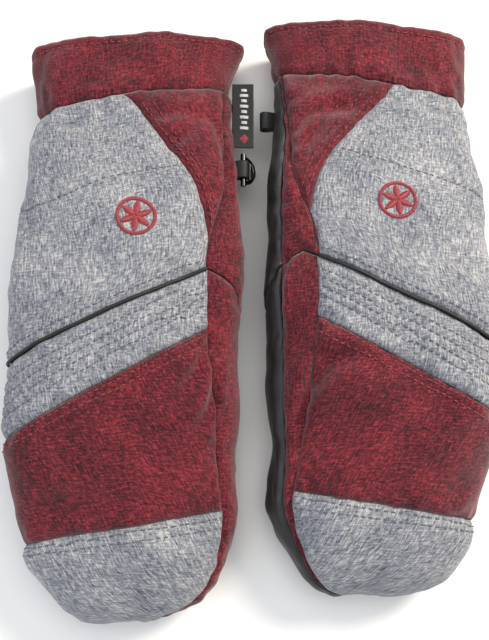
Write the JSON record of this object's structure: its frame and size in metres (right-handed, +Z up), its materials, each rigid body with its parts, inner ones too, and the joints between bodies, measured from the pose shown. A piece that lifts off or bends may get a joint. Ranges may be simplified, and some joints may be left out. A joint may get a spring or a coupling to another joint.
{
  "type": "convertible flip-top mittens",
  "caption": "Pair of insulated mittens with a flip-top hood over half-finger stalls, tucked leather thumbs, flared cuffs and a clip on the cuff seam.",
  "frame": {"origin": "on the table under the middle of the pair's box", "axes": "+Z up from the table, +Y from the fingertips towards the cuffs, +X from the right-hand mitten to the left-hand one"},
  "size_m": [0.248, 0.3136, 0.0615],
  "materials": {
    "burgundy_cloth": "heathered twill, matte",
    "grey_cloth": "heathered plain weave, matte",
    "black_leather": "fine-grained coated leather, soft sheen",
    "wadding": "charcoal polyester wadding",
    "black_fleece": "brushed fleece",
    "black_elastic": "ribbed elastic tape",
    "black_knit": "ribbed knit",
    "black_piping": "smooth corded piping",
    "red_thread": "satin-stitch embroidery",
    "woven_label": "damask-woven ribbon",
    "black_webbing": "narrow flat webbing",
    "black_plastic": "glossy moulded acetal"
  },
  "bodies": {
    "right_hand": {"right_cuff_band": "burgundy_cloth", "right_cuff_facing": "burgundy_cloth", "right_back_panel": "grey_cloth", "right_wrist_gusset": "burgundy_cloth", "right_hand_fourchette": "burgundy_cloth", "right_palm_panel": "black_leather", "right_hand_insulation": "wadding", "right_hand_lining": "black_fleece", "right_wrist_elastic": "black_elastic", "right_thumb_shell": "black_leather", "right_thumb_lining": "black_fleece", "right_stall_web": "black_knit", "right_index_stall": "black_knit", "right_middle_stall": "black_knit", "right_ring_stall": "black_knit", "right_little_stall": "black_knit", "right_hinge_piping": "black_piping", "right_emblem": "red_thread", "label_tab": "woven_label", "clip_webbing": "black_webbing"},
    "right_hood": {"right_quilted_band": "grey_cloth", "right_knuckle_panel": "burgundy_cloth", "right_tip_panel": "grey_cloth", "right_hood_fourchette": "burgundy_cloth", "right_hood_palm": "black_leather", "right_hood_insulation": "wadding", "right_hood_lining": "black_fleece", "right_lip_binding": "black_elastic"},
    "clip": {"clip_ring": "black_plastic"},
    "left_hand": {"left_cuff_band": "burgundy_cloth", "left_cuff_facing": "burgundy_cloth", "left_back_panel": "grey_cloth", "left_wrist_gusset": "burgundy_cloth", "left_hand_fourchette": "burgundy_cloth", "left_palm_panel": "black_leather", "left_hand_insulation": "wadding", "left_hand_lining": "black_fleece", "left_wrist_elastic": "black_elastic", "left_thumb_shell": "black_leather", "left_thumb_lining": "black_fleece", "left_stall_web": "black_knit", "left_index_stall": "black_knit", "left_middle_stall": "black_knit", "left_ring_stall": "black_knit", "left_little_stall": "black_knit", "left_hinge_piping": "black_piping", "left_emblem": "red_thread", "left_clip_loop": "black_webbing"},
    "left_hood": {"left_quilted_band": "grey_cloth", "left_knuckle_panel": "burgundy_cloth", "left_tip_panel": "grey_cloth", "left_hood_fourchette": "burgundy_cloth", "left_hood_palm": "black_leather", "left_hood_insulation": "wadding", "left_hood_lining": "black_fleece", "left_lip_binding": "black_elastic"}
  },
  "joints": [
    {"name": "right_hood_flip", "type": "hinge", "parent": "right_hand", "child": "right_hood", "pos_m": [-0.0645, -0.00677, 0.06], "axis": [-0.9063, -0.4226, 0], "range_deg": [0, 160]},
    {"name": "clip_swing", "type": "hinge", "parent": "right_hand", "child": "clip", "pos_m": [-0.00483, 0.07423, 0.026], "axis": [0, 1, 0], "range_deg": [-30, 50]},
    {"name": "left_hand_slide", "type": "slide", "parent": "right_hand", "child": "left_hand", "axis": [1, 0, 0], "range_m": [0, 0.15]},
    {"name": "left_hood_flip", "type": "hinge", "parent": "left_hand", "child": "left_hood", "pos_m": [0.0645, 0.00323, 0.06], "axis": [-0.9063, 0.4226, 0], "range_deg": [0, 160]}
  ]
}
